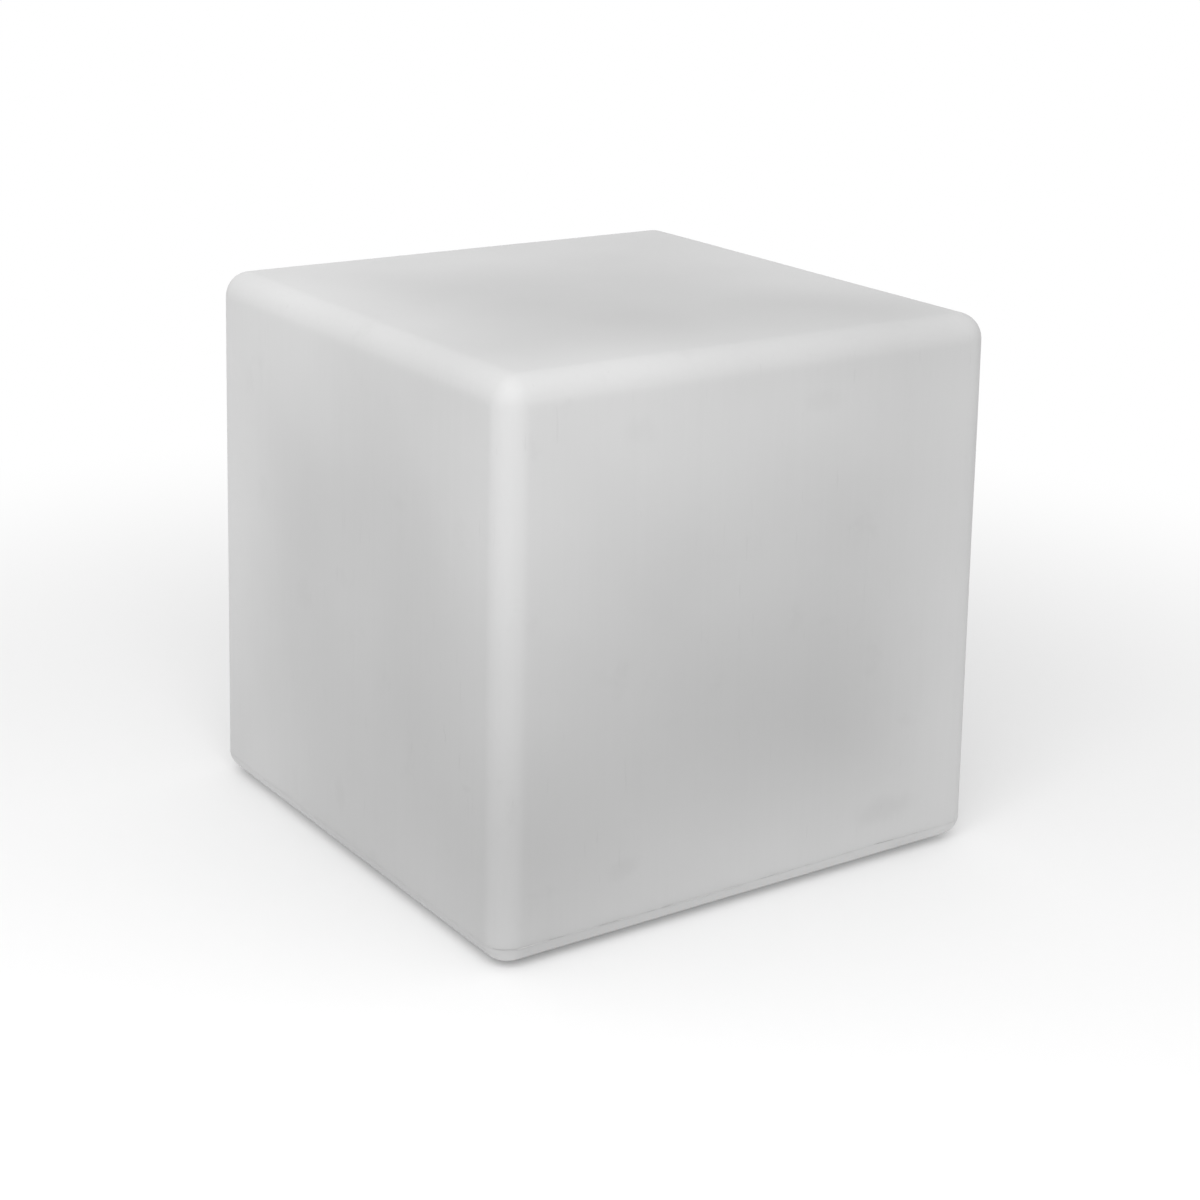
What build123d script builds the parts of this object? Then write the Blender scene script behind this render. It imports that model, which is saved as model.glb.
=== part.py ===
from build123d import *
import math
import os

# A rechargeable light in the form of a rounded cube: a hollow moulded polyethylene shell on four
# rubber feet, closed from below by a round module that holds the battery, the electronics, the
# LED board under its dome, the power button and the charging socket.
# Millimetres. +Z is up and z = 0 is the ground. -Y is the front. The origin is the centre of the base.

# ---- driving sizes ----

# moulded cube
base_width = 400.0          # across the cube at its underside
shell_height = 383.0
draft_angle = 1.0           # each wall leans in by this many degrees, so that the cube leaves its mould
edge_radius = 18.0          # upright and top edges
low_radius = 15.0           # edges round the underside
shell_wall = 4.0
ridge_height = 1.0          # trimmed line where the two mould halves met
ridge_proud = 0.4

# feet
foot_radius = 12.0
foot_thickness = 4.0
foot_sink = 2.0             # how deep a foot sits in its dimple
foot_inset = 50.0           # from the widest edge of the cube to a foot's centre

# fits
slip_gap = 0.05             # screw in thread, pin in hole
seat_gap = 0.1              # round piece on a flat seat
move_gap = 0.3              # between pieces that move past each other
hole_gap = 0.2              # round a screw where it passes through
blind_room = 3.0            # depth left past the end of an insert

# base module
pocket_depth = 22.0
module_count = 6            # screws round the flange, and round the dome
flange_lip = 14.0
flange_thickness = 4.0
flange_side_room = 7.0
gasket_thickness = 1.5
opening_gap = 1.0
tub_wall = 3.0
tub_rim = 4.8               # tub wall above the LED board
boss_radius = 4.5
boss_sink = 0.5             # how far a boss is sunk in the tub's wall
seal_thickness = 1.2

# fasteners
module_thread = 2.0
module_screw_length = 14.0
module_head_radius = 4.0
module_head_height = 2.6
insert_radius = 3.2
insert_length = 9.5
insert_boss_radius = 6.5
insert_boss_height = 12.0
small_thread = 1.5
small_screw_length = 8.0
small_head_radius = 2.8
small_head_height = 1.8
board_thread = 1.25
board_screw_length = 6.0
board_head_radius = 2.2
board_head_height = 1.5

# battery
cell_radius = 9.2
cell_length = 65.0
cell_count = 2
cell_gap = 0.4
battery_near = 11.9         # from the centre line to the first cell
pad_thickness = 2.0
rib_thickness = 1.2
rib_height = 8.0
strip_thickness = 0.3
strip_width = 8.0
clamp_thickness = 2.0
clamp_tongue = 8.0
clamp_share = 0.85          # length of the clamp's plate, as a share of a cell's
cell_chamfer = 0.6
clamp_post_radius = 3.2
clamp_post_reach = 6.5      # from a cell's end to the centre of the post beside it

# control board
board_length = 60.0
board_width = 38.0
board_thickness = 1.6
board_near = 8.0            # from the centre line to the board's edge
board_post_radius = 3.0
board_post_inset = 3.5
part_room = 18.0            # from the control board up to the LED board
chip_sizes_and_spots = (((10.0, 7.0, 1.6), (-18.0, 4.0)), ((5.0, 4.0, 1.4), (4.0, 4.0)),
                        ((7.0, 7.0, 3.0), (4.0, 13.0)))
capacitor_radius = 3.15
capacitor_height = 7.7
capacitor_spots = ((-16.0, -11.0), (-8.0, 13.0))
connector_size = (8.0, 6.0, 7.0)
connector_end_inset = 12.0      # from the board's end to the centre of the two connectors there
connector_side_inset = 7.0      # from the board's side to the centre of the first of them
connector_pitch = 17.0
connector_step = 24.0           # from the first connector back along the board to the third

# power button and its switch
button_x = -14.0
button_radius = 8.0
button_proud = 2.0
button_travel = 1.8
collar_lip = 2.0
collar_thickness = 1.5
button_gap = 0.4
button_chamfer = 0.8
button_dish = 0.6
socket_depth = 1.0          # how deep the stem sits in the collar side of the cap
ring_section = 0.65
ring_proud = 0.15           # how far the ring stands out of its groove
switch_width = 8.5
switch_height = 9.0
stem_radius = 1.9
stem_gap = 1.7              # left above the collar when the button is pressed home
stem_engaged = 2.0          # how far the stem reaches into the switch at rest
stem_room = 1.0             # left past the stem when the button is pressed home

# status light
pipe_x = 10.0
pipe_radius = 1.5
pipe_collar = 0.8
pipe_collar_height = 1.2
status_size = (3.2, 1.6, 1.1)

# charging socket
jack_y = 20.0
jack_clear = 16.0           # from the board's end to the socket's centre
well_radius = 9.0
well_depth = 11.0
well_wall = 3.0
jack_radius = 5.4
jack_flange_radius = 7.0
jack_flange = 2.0
jack_length = 11.0          # body above the deck of the well
jack_bore = 3.0
jack_bore_depth = 11.0
jack_pin_radius = 1.05
jack_pin_set_back = 1.5
jack_tab = (2.0, 0.6)
jack_tab_offset = 3.5
washer_thickness = 0.8
nut_across_flats = 14.0
nut_thickness = 2.5
tab_length = 4.0

# rubber cap over the charging socket
cap_radius = 12.0
cap_thickness = 2.2
cap_gap = 0.2
spigot_radius = 8.4
spigot_length = 2.5
spigot_chamfer = 0.8
strap_width = 10.0
strap_reach = 16.0          # from the socket's centre to the bend of the strap
bend_gap = 0.15             # from the cap's underside down to the line that it bends about
stud_reach = 7.0            # from the bend to the stud that holds the strap
stud_radius = 1.9
stud_head_radius = 3.2
stud_head_height = 1.5
pull_tab_length = 7.0
pull_tab_width = 9.0

# LED board and dome
post_radius = 3.5
post_room = 1.3             # between the battery's rib and the nearest post
led_board_thickness = 1.6
led_board_margin = 4.5
board_boss_gap = 2.5
led_size = 5.0
led_height = 1.6
inner_ring = 18.0
inner_count = 6
outer_ring = 40.0
outer_count = 12
led_bowl = 0.4              # radius of an LED's lit bowl, as a share of its size
receiver_y = 29.0
receiver_size = (6.0, 3.0, 7.0)
receiver_lens = 2.0
receiver_lens_height = 4.5
dome_wall = 2.2
dome_rise = 30.0
dome_flange = 3.0
dome_step = 2.0             # from the dome's foot to the screw heads

# leads
lead_radius = 1.2
lead_bend = 3.5
lead_out = 5.5              # how far a lead runs before it turns
lead_step = 9.0

# ---- places worked out from the sizes ----

lean = math.tan(math.radians(draft_angle))
shell_bottom = foot_thickness - foot_sink
shell_top = shell_bottom + shell_height
parting_z = shell_bottom + low_radius
foot_offset = base_width / 2 - foot_inset

deck_under = shell_bottom + pocket_depth
deck_top = deck_under + shell_wall
floor_top = deck_under - gasket_thickness
floor_under = floor_top - flange_thickness

cell_pitch = 2 * cell_radius + cell_gap
battery_width = cell_count * cell_pitch - cell_gap
battery_far = battery_near + battery_width
battery_y = -(battery_near + battery_far) / 2
post_circle = battery_far + cell_gap + rib_thickness + post_room + post_radius
led_board_radius = post_circle + led_board_margin
boss_circle = led_board_radius + board_boss_gap + boss_radius
tub_inner = boss_circle + boss_radius - boss_sink
tub_radius = tub_inner + tub_wall
flange_radius = tub_radius + flange_lip
module_circle = tub_radius + (flange_lip + opening_gap) / 2 + opening_gap / 2
pocket_radius = flange_radius + flange_side_room
opening_radius = tub_radius + opening_gap

board_y = board_near + board_width / 2
board_under = floor_top + collar_thickness + button_travel + stem_gap + switch_height
board_top = board_under + board_thickness
led_board_under = board_top + part_room
led_board_top = led_board_under + led_board_thickness
tub_top = led_board_top + tub_rim
dome_seat = tub_top + seal_thickness
dome_foot = dome_seat + dome_flange
dome_radius = boss_circle - small_head_radius - dome_step

cell_axis_z = floor_top + pad_thickness + seat_gap + cell_radius
clamp_under = cell_axis_z + cell_radius + 2 * seat_gap
clamp_post_x = cell_length / 2 + clamp_post_reach

jack_x = board_length / 2 + jack_clear
well_deck_under = floor_under + well_depth
well_deck_top = well_deck_under + well_wall
jack_face = well_deck_under - washer_thickness - jack_flange
jack_top = well_deck_top + jack_length
cap_top = floor_under - cap_gap
cap_under = cap_top - cap_thickness
bend_y = jack_y - strap_reach
bend_z = cap_under - bend_gap

connector_x = board_length / 2 - connector_end_inset
connector_y = board_near + connector_side_inset
battery_plug = (connector_x, connector_y)
charging_plug = (connector_x, connector_y + connector_pitch)
led_plug = (connector_x - connector_step, connector_y)
connector_top = board_top + connector_size[2]


# ---- shared shapes ----

def disc(radius, low, high, x=0.0, y=0.0):
    """An upright cylinder between two heights."""
    return Pos(x, y, low) * Cylinder(radius, high - low, align=(Align.CENTER, Align.CENTER, Align.MIN))


def block(length, width, low, high, x=0.0, y=0.0):
    """An upright box between two heights."""
    return Pos(x, y, low) * Box(length, width, high - low, align=(Align.CENTER, Align.CENTER, Align.MIN))


def around(count, radius, first=0.0):
    """Places spaced evenly on a circle, starting at an angle in degrees."""
    turns = [math.radians(first + 360 * step / count) for step in range(count)]
    return [(radius * math.cos(turn), radius * math.sin(turn)) for turn in turns]


def both_ends(x, y=0.0):
    """The places at plus and minus x."""
    return [(-x, y), (x, y)]


def group(solids):
    """Separate solids that are kept together."""
    return Compound(solids)


def screw(x, y, seat, length, thread, head_radius, head_height, up=True):
    """A pan head screw: its head lies on the seat, and its shank goes down from there, or up."""
    if up:
        shank = disc(thread, seat, seat + length, x, y)
        head = disc(head_radius, seat - head_height, seat, x, y)
        low, high = seat - head_height, seat - head_height / 2
    else:
        shank = disc(thread, seat - length, seat, x, y)
        head = disc(head_radius, seat, seat + head_height, x, y)
        low, high = seat + head_height / 2, seat + head_height
    slot_width = head_radius * 0.3
    slot_length = head_radius * 1.2
    cross = block(slot_length, slot_width, low, high, x, y) + block(slot_width, slot_length, low, high, x, y)
    return shank + head - cross


def lead(points):
    """A round lead along straight runs joined by arcs."""
    path = FilletPolyline(*points, radius=lead_bend)
    start = Plane(origin=path @ 0, z_dir=path % 0)
    tube = sweep(start * Circle(lead_radius), path)
    ideal = math.pi * lead_radius ** 2 * path.length
    print(f"lead: length {path.length:.1f} mm, volume {tube.volume:.1f}, section x length {ideal:.1f}")
    return tube


# ---- cube ----

def rounded_cube(width, low, high, upper, lower):
    """A block whose walls lean in, with round upright and top edges, and round edges underneath."""
    solid = extrude(Pos(0, 0, low) * Rectangle(width, width), high - low, taper=draft_angle)
    underside = solid.faces().sort_by(Axis.Z)[0].edges()
    solid = fillet([edge for edge in solid.edges() if edge not in underside], upper)
    return fillet(solid.faces().sort_by(Axis.Z)[0].edges(), lower)


def make_cube_shell():
    ridge_width = base_width - 2 * low_radius * lean + 2 * ridge_proud
    ridge = extrude(Pos(0, 0, parting_z - ridge_height / 2)
                    * RectangleRounded(ridge_width, ridge_width, edge_radius + ridge_proud), ridge_height)
    outside = rounded_cube(base_width, shell_bottom, shell_top, edge_radius, low_radius) + ridge

    inner_width = base_width - 2 * shell_wall * (1 / math.cos(math.radians(draft_angle)) + lean)
    hollow = rounded_cube(inner_width, shell_bottom + shell_wall, shell_top - shell_wall,
                          max(edge_radius - shell_wall, 1.0), max(low_radius - shell_wall, 1.0))
    hollow -= disc(pocket_radius + shell_wall, shell_bottom, deck_top)
    for x, y in around(module_count, module_circle):
        hollow -= disc(insert_boss_radius, deck_top, deck_top + insert_boss_height, x, y)
    for x, y in foot_spots().values():
        hollow -= disc(foot_radius + shell_wall, shell_bottom, shell_bottom + foot_sink + shell_wall, x, y)

    shell = outside - hollow
    shell -= disc(pocket_radius, shell_bottom, deck_under)
    shell -= disc(opening_radius, deck_under, deck_top)
    for x, y in around(module_count, module_circle):
        shell -= disc(insert_radius + slip_gap, deck_under, deck_under + insert_length + blind_room, x, y)
    for x, y in foot_spots().values():
        shell -= disc(foot_radius + move_gap, shell_bottom, shell_bottom + foot_sink, x, y)
    mouth = [edge for edge in shell.edges().filter_by(GeomType.CIRCLE)
             if abs(edge.radius - pocket_radius) < 0.01 and abs(edge.center().Z - shell_bottom) < 0.01]
    return fillet(mouth, shell_wall / 2)


def foot_spots():
    """The foot of each corner, by name."""
    return {
        "foot_front_left": (-foot_offset, -foot_offset),
        "foot_front_right": (foot_offset, -foot_offset),
        "foot_rear_left": (-foot_offset, foot_offset),
        "foot_rear_right": (foot_offset, foot_offset),
    }


def make_foot(x, y):
    foot = disc(foot_radius, 0, foot_thickness, x, y)
    return fillet(foot.edges().sort_by(Axis.Z)[0], foot_sink / 2)


def make_threaded_inserts():
    inserts = []
    for x, y in around(module_count, module_circle):
        sleeve = disc(insert_radius, deck_under, deck_under + insert_length, x, y)
        inserts.append(sleeve - disc(module_thread + slip_gap, deck_under, deck_under + insert_length, x, y))
    return group(inserts)


# ---- base module ----

def make_flange_gasket():
    gasket = disc(flange_radius, floor_top, deck_under) - disc(opening_radius, floor_top, deck_under)
    for x, y in around(module_count, module_circle):
        gasket -= disc(module_thread + hole_gap, floor_top, deck_under, x, y)
    return gasket


def make_module_screws():
    return group([screw(x, y, floor_under, module_screw_length, module_thread,
                        module_head_radius, module_head_height)
                  for x, y in around(module_count, module_circle)])


def boss_spots():
    return around(module_count, boss_circle, 180 / module_count)


def board_post_spots():
    across = board_length / 2 - board_post_inset
    along = board_width / 2 - board_post_inset
    return [(x, board_y + y) for y in (-along, along) for x in (-across, across)]


def make_base_tub():
    tub = disc(flange_radius, floor_under, floor_top) + disc(tub_radius, floor_top, tub_top)
    tub -= disc(tub_inner, floor_top, tub_top)

    for x, y in boss_spots():
        tub += disc(boss_radius, floor_top, dome_seat, x, y)
    for x, y in around(4, post_circle):
        tub += disc(post_radius, floor_top, led_board_under, x, y)
    for x, y in board_post_spots():
        tub += disc(board_post_radius, floor_top, board_under, x, y)
    for x, y in both_ends(clamp_post_x, battery_y):
        tub += disc(clamp_post_radius, floor_top, clamp_under, x, y)
    for y in (-battery_near + rib_thickness / 2 + cell_gap, -battery_far - rib_thickness / 2 - cell_gap):
        tub += block(cell_length, rib_thickness, floor_top, floor_top + rib_height, 0, y)
    tub += disc(well_radius + well_wall, floor_top, well_deck_top, jack_x, jack_y)

    tub -= disc(well_radius, floor_under, well_deck_under, jack_x, jack_y)
    tub -= disc(jack_radius + slip_gap, well_deck_under, well_deck_top, jack_x, jack_y)
    tub -= disc(stud_radius + slip_gap, floor_under, floor_top, jack_x, bend_y - stud_reach)
    tub -= disc(button_radius + button_gap, floor_under, floor_top, button_x, board_y)
    tub -= disc(pipe_radius + slip_gap, floor_under, floor_top, pipe_x, board_y)
    for x, y in around(module_count, module_circle):
        tub -= disc(module_thread + hole_gap, floor_under, floor_top, x, y)
    for x, y in boss_spots():
        tub -= disc(small_thread + slip_gap, dome_seat - small_screw_length, dome_seat, x, y)
    for x, y in around(4, post_circle):
        tub -= disc(small_thread + slip_gap, led_board_under - small_screw_length, led_board_under, x, y)
    for x, y in board_post_spots():
        tub -= disc(board_thread + slip_gap, board_under - board_screw_length, board_under, x, y)
    for x, y in both_ends(clamp_post_x, battery_y):
        tub -= disc(board_thread + slip_gap, clamp_under - board_screw_length, clamp_under, x, y)

    rim = [edge for edge in tub.edges().filter_by(GeomType.CIRCLE)
           if abs(edge.radius - flange_radius) < 0.01 and abs(edge.center().Z - floor_under) < 0.01]
    return chamfer(rim, flange_thickness / 4)


def make_dome_seal():
    return disc(tub_radius, tub_top, dome_seat) - disc(tub_inner, tub_top, dome_seat) - group(
        [disc(boss_radius + slip_gap, tub_top, dome_seat, x, y) for x, y in boss_spots()])


def cap_of_sphere(radius, foot, rise):
    """A solid spherical cap that stands on a circle at the foot height."""
    ball_radius = (radius ** 2 + rise ** 2) / (2 * rise)
    ball = Pos(0, 0, foot + rise - ball_radius) * Sphere(ball_radius)
    return ball & disc(2 * radius, foot, foot + 2 * rise)


def make_dome_cover():
    inner_radius = dome_radius - dome_wall
    dome = disc(tub_radius, dome_seat, dome_foot) + cap_of_sphere(dome_radius, dome_foot, dome_rise)
    dome -= disc(inner_radius, dome_seat, dome_foot) + cap_of_sphere(inner_radius, dome_foot,
                                                                    dome_rise - dome_wall)
    for x, y in boss_spots():
        dome -= disc(small_thread + hole_gap, dome_seat, dome_foot, x, y)
    return dome


def make_dome_screws():
    return group([screw(x, y, dome_foot, small_screw_length, small_thread, small_head_radius,
                        small_head_height, up=False) for x, y in boss_spots()])


# ---- LED board ----

def make_led_board():
    board = disc(led_board_radius, led_board_under, led_board_top)
    for x, y in around(4, post_circle):
        board -= disc(small_thread + hole_gap, led_board_under, led_board_top, x, y)
    return board


def make_led_chips():
    chips = []
    for x, y in around(inner_count, inner_ring) + around(outer_count, outer_ring):
        chip = block(led_size, led_size, led_board_top, led_board_top + led_height, x, y)
        bowl = disc(led_size * led_bowl, led_board_top + led_height / 2, led_board_top + led_height, x, y)
        chips.append(chip - bowl)
    return group(chips)


def make_led_board_screws():
    return group([screw(x, y, led_board_top, small_screw_length, small_thread, small_head_radius,
                        small_head_height, up=False) for x, y in around(4, post_circle)])


def make_ir_receiver():
    length, width, height = receiver_size
    body = block(length, width, led_board_top, led_board_top + height, 0, receiver_y)
    lens = Pos(0, receiver_y - width / 2, led_board_top + receiver_lens_height) * Sphere(receiver_lens)
    return body + lens


# ---- control board and battery ----

def make_control_board():
    board = block(board_length, board_width, board_under, board_top, 0, board_y)
    for x, y in board_post_spots():
        board -= disc(board_thread + hole_gap, board_under, board_top, x, y)
    return board


def make_control_board_screws():
    return group([screw(x, y, board_top, board_screw_length, board_thread, board_head_radius,
                        board_head_height, up=False) for x, y in board_post_spots()])


def make_board_chips():
    return group([block(length, width, board_top, board_top + height, x, board_y + y)
                  for (length, width, height), (x, y) in chip_sizes_and_spots])


def make_board_capacitors():
    return group([disc(capacitor_radius, board_top, board_top + capacitor_height, x, board_y + y)
                  for x, y in capacitor_spots])


def make_board_connectors():
    length, width, height = connector_size
    return group([block(length, width, board_top, board_top + height, x, y)
                  for x, y in (battery_plug, charging_plug, led_plug)])


def cell_rows():
    return [-battery_near - cell_radius - row * cell_pitch for row in range(cell_count)]


def lying_cylinder(radius, length, x, y, z):
    return Pos(x, y, z) * Rot(0, 90, 0) * Cylinder(radius, length)


def make_battery_pad():
    return block(cell_length, battery_width, floor_top, floor_top + pad_thickness, 0, battery_y)


def make_battery_cells():
    cells = []
    for y in cell_rows():
        cell = lying_cylinder(cell_radius, cell_length, 0, y, cell_axis_z)
        cells.append(chamfer(cell.edges().filter_by(GeomType.CIRCLE), cell_chamfer))
    return group(cells)


def make_cell_strips():
    reach = cell_length / 2 + strip_thickness / 2
    length = battery_width - cell_radius
    return group([block(strip_thickness, length, cell_axis_z - strip_width / 2,
                        cell_axis_z + strip_width / 2, x, battery_y) for x in (-reach, reach)])


def make_battery_clamp():
    top = clamp_under + clamp_thickness
    plate = block(cell_length * clamp_share, cell_pitch + cell_radius, clamp_under, top, 0, battery_y)
    plate += block(2 * clamp_post_x, clamp_tongue, clamp_under, top, 0, battery_y)
    for x, y in both_ends(clamp_post_x, battery_y):
        plate += disc(clamp_tongue / 2, clamp_under, top, x, y)
    for x, y in both_ends(clamp_post_x, battery_y):
        plate -= disc(board_thread + hole_gap, clamp_under, top, x, y)
    return plate


def make_battery_clamp_screws():
    return group([screw(x, y, clamp_under + clamp_thickness, board_screw_length, board_thread,
                        board_head_radius, board_head_height, up=False)
                  for x, y in both_ends(clamp_post_x, battery_y)])


# ---- leads ----

def make_battery_lead():
    x, y = battery_plug
    start_x = cell_length / 2 + strip_thickness
    out_x = start_x + lead_out
    row = cell_rows()[0]
    high = connector_top + lead_out
    return lead([(start_x, row, cell_axis_z), (out_x, row, cell_axis_z), (out_x, row, high),
                 (x, y, high), (x, y, connector_top)])


def make_charging_lead():
    x, y = charging_plug
    low = jack_top + tab_length
    high = max(low, connector_top) + lead_out
    return lead([(jack_x, jack_y, low), (jack_x, jack_y, high), (x, y, high), (x, y, connector_top)])


def make_led_lead():
    x, y = led_plug
    middle = (connector_top + led_board_under) / 2
    return lead([(x, y, connector_top), (x, y, middle), (x + lead_step, y, middle),
                 (x + lead_step, y, led_board_under)])


# ---- power button ----

def ring_torus():
    return Pos(button_x, board_y, (floor_under + floor_top) / 2) * Torus(
        button_radius + ring_proud - ring_section, ring_section)


def make_button_cap():
    under = floor_under - button_proud
    cap = disc(button_radius, under, floor_top, button_x, board_y)
    cap = chamfer(cap.edges().sort_by(Axis.Z)[0], button_chamfer)
    cap += disc(button_radius + collar_lip, floor_top, floor_top + collar_thickness, button_x, board_y)
    dish = cap_of_sphere(button_radius - 2 * button_chamfer, 0, button_dish)
    cap -= Pos(button_x, board_y, under) * dish
    cap -= disc(stem_radius, floor_top - socket_depth, floor_top + collar_thickness, button_x, board_y)
    return cap - ring_torus()


def make_button_ring():
    return ring_torus()


def make_switch_stem():
    top = board_under - switch_height + stem_engaged
    return disc(stem_radius, floor_top - socket_depth, top, button_x, board_y)


def make_switch_body():
    bottom = board_under - switch_height
    body = block(switch_width, switch_width, bottom, board_under, button_x, board_y)
    depth = stem_engaged + button_travel + stem_room
    return body - disc(stem_radius + move_gap, bottom, bottom + depth, button_x, board_y)


def make_light_pipe():
    top = board_under - status_size[2] - move_gap
    pipe = disc(pipe_radius, floor_under, top, pipe_x, board_y)
    return pipe + disc(pipe_radius + pipe_collar, floor_top, floor_top + pipe_collar_height, pipe_x, board_y)


def make_status_led():
    length, width, height = status_size
    return block(length, width, board_under - height, board_under, pipe_x, board_y)


# ---- charging socket ----

def make_charging_jack():
    jack = disc(jack_flange_radius, jack_face, jack_face + jack_flange, jack_x, jack_y)
    jack += disc(jack_radius, jack_face, jack_top, jack_x, jack_y)
    jack -= disc(jack_bore, jack_face, jack_face + jack_bore_depth, jack_x, jack_y)
    return jack - disc(jack_pin_radius, jack_face, jack_top, jack_x, jack_y)


def make_jack_contacts():
    pin = disc(jack_pin_radius, jack_face + jack_pin_set_back, jack_top + tab_length, jack_x, jack_y)
    length, width = jack_tab
    side = block(length, width, jack_top, jack_top + tab_length, jack_x, jack_y + jack_tab_offset)
    return group([pin, side])


def make_jack_washer():
    washer = disc(jack_flange_radius, well_deck_under - washer_thickness, well_deck_under, jack_x, jack_y)
    return washer - disc(jack_radius + slip_gap, jack_face, well_deck_under, jack_x, jack_y)


def make_jack_nut():
    corner = nut_across_flats / math.sqrt(3)
    nut = extrude(Pos(jack_x, jack_y, well_deck_top) * RegularPolygon(corner, 6), nut_thickness)
    return nut - disc(jack_radius + slip_gap, well_deck_top, well_deck_top + nut_thickness, jack_x, jack_y)


def make_charging_cap():
    cap = disc(cap_radius, cap_under, cap_top, jack_x, jack_y)
    cap += block(strap_width, strap_reach, cap_under, cap_top, jack_x, bend_y + strap_reach / 2)
    tab_reach = cap_radius + pull_tab_length - pull_tab_width / 2
    cap += block(pull_tab_width, tab_reach, cap_under, cap_top, jack_x, jack_y + tab_reach / 2)
    cap += disc(pull_tab_width / 2, cap_under, cap_top, jack_x, jack_y + tab_reach)
    spigot = disc(spigot_radius, cap_top, cap_top + spigot_length, jack_x, jack_y)
    return cap + chamfer(spigot.edges().sort_by(Axis.Z)[-1], spigot_chamfer)


def make_cap_anchor():
    near = bend_y - move_gap
    middle = bend_y - stud_reach
    pad = block(strap_width, near - middle, cap_under, floor_under, jack_x, (near + middle) / 2)
    pad += disc(strap_width / 2, cap_under, floor_under, jack_x, middle)
    pad += disc(stud_radius, floor_under, floor_top, jack_x, middle)
    return pad + disc(stud_head_radius, floor_top, floor_top + stud_head_height, jack_x, middle)


pieces = {
    "cube_shell": make_cube_shell(),
    "threaded_inserts": make_threaded_inserts(),
    "flange_gasket": make_flange_gasket(),
    "module_screws": make_module_screws(),
    "base_tub": make_base_tub(),
    "dome_seal": make_dome_seal(),
    "dome_cover": make_dome_cover(),
    "dome_screws": make_dome_screws(),
    "led_board": make_led_board(),
    "led_chips": make_led_chips(),
    "led_board_screws": make_led_board_screws(),
    "ir_receiver": make_ir_receiver(),
    "control_board": make_control_board(),
    "control_board_screws": make_control_board_screws(),
    "board_chips": make_board_chips(),
    "board_capacitors": make_board_capacitors(),
    "board_connectors": make_board_connectors(),
    "battery_pad": make_battery_pad(),
    "battery_cells": make_battery_cells(),
    "cell_strips": make_cell_strips(),
    "battery_clamp": make_battery_clamp(),
    "battery_clamp_screws": make_battery_clamp_screws(),
    "battery_lead": make_battery_lead(),
    "charging_lead": make_charging_lead(),
    "led_lead": make_led_lead(),
    "button_cap": make_button_cap(),
    "button_ring": make_button_ring(),
    "switch_stem": make_switch_stem(),
    "switch_body": make_switch_body(),
    "light_pipe": make_light_pipe(),
    "status_led": make_status_led(),
    "charging_jack": make_charging_jack(),
    "jack_contacts": make_jack_contacts(),
    "jack_washer": make_jack_washer(),
    "jack_nut": make_jack_nut(),
    "charging_cap": make_charging_cap(),
    "cap_anchor": make_cap_anchor(),
}
for name, (x, y) in foot_spots().items():
    pieces[name] = make_foot(x, y)

os.makedirs("parts", exist_ok=True)
for name, shape in pieces.items():
    export_step(shape, f"parts/{name}.step")
print(f"socket centre x {jack_x:.2f} y {jack_y:.2f}, cap bends about y {bend_y:.2f} z {bend_z:.2f}")
print(f"tub radius {tub_radius:.2f}, pocket radius {pocket_radius:.2f}, top of the cube {shell_top:.2f}")
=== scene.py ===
import math

import bmesh
import bpy
from mathutils import Matrix, Vector


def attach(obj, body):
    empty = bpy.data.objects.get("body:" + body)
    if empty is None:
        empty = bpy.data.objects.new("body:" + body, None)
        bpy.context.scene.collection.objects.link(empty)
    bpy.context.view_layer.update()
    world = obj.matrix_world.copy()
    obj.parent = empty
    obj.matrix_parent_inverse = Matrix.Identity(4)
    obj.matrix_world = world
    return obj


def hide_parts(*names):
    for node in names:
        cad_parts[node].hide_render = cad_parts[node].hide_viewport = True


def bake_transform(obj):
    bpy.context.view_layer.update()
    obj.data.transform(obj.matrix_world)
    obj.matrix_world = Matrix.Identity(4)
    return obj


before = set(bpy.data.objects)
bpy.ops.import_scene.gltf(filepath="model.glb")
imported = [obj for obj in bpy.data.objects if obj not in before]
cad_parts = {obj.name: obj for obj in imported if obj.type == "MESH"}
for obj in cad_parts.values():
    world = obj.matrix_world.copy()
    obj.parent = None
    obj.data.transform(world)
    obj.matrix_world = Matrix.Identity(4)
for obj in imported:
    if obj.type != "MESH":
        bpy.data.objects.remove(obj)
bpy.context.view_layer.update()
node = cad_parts

# ---- viewpoint ----
# A longish lens looks down on the near upright edge of the cube from a little above, with the wide
# face on the right and the narrower one on the left.

scene = bpy.context.scene
scene.view_settings.view_transform = "Standard"

photo_pixels = 1200
view_turn = math.radians(-34.58)
view_rise = math.radians(19.05)
view_roll = math.radians(1.18)
view_distance = 1.673
focal_pixels = 2330
looked_at = Vector((0, 0, 0.195))
looked_at_pixel = (589.2, 552.4)

back = Vector((math.sin(view_turn) * math.cos(view_rise),
               -math.cos(view_turn) * math.cos(view_rise), math.sin(view_rise)))
level_right = Vector((0, 0, 1)).cross(back).normalized()
level_up = back.cross(level_right)
right = math.cos(view_roll) * level_right + math.sin(view_roll) * level_up
up = math.cos(view_roll) * level_up - math.sin(view_roll) * level_right
aside = (looked_at_pixel[0] - photo_pixels / 2) / focal_pixels
above = (photo_pixels / 2 - looked_at_pixel[1]) / focal_pixels

camera = bpy.data.objects.new("camera", bpy.data.cameras.new("camera"))
scene.collection.objects.link(camera)
camera.data.sensor_width = 36
camera.data.lens = focal_pixels / photo_pixels * camera.data.sensor_width
camera.data.clip_end = 100
turn = Matrix((right, up, back)).transposed().to_4x4()
stand = looked_at + view_distance * (back - aside * right - above * up)
camera.matrix_world = Matrix.Translation(stand) @ turn
scene.camera = camera

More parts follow.
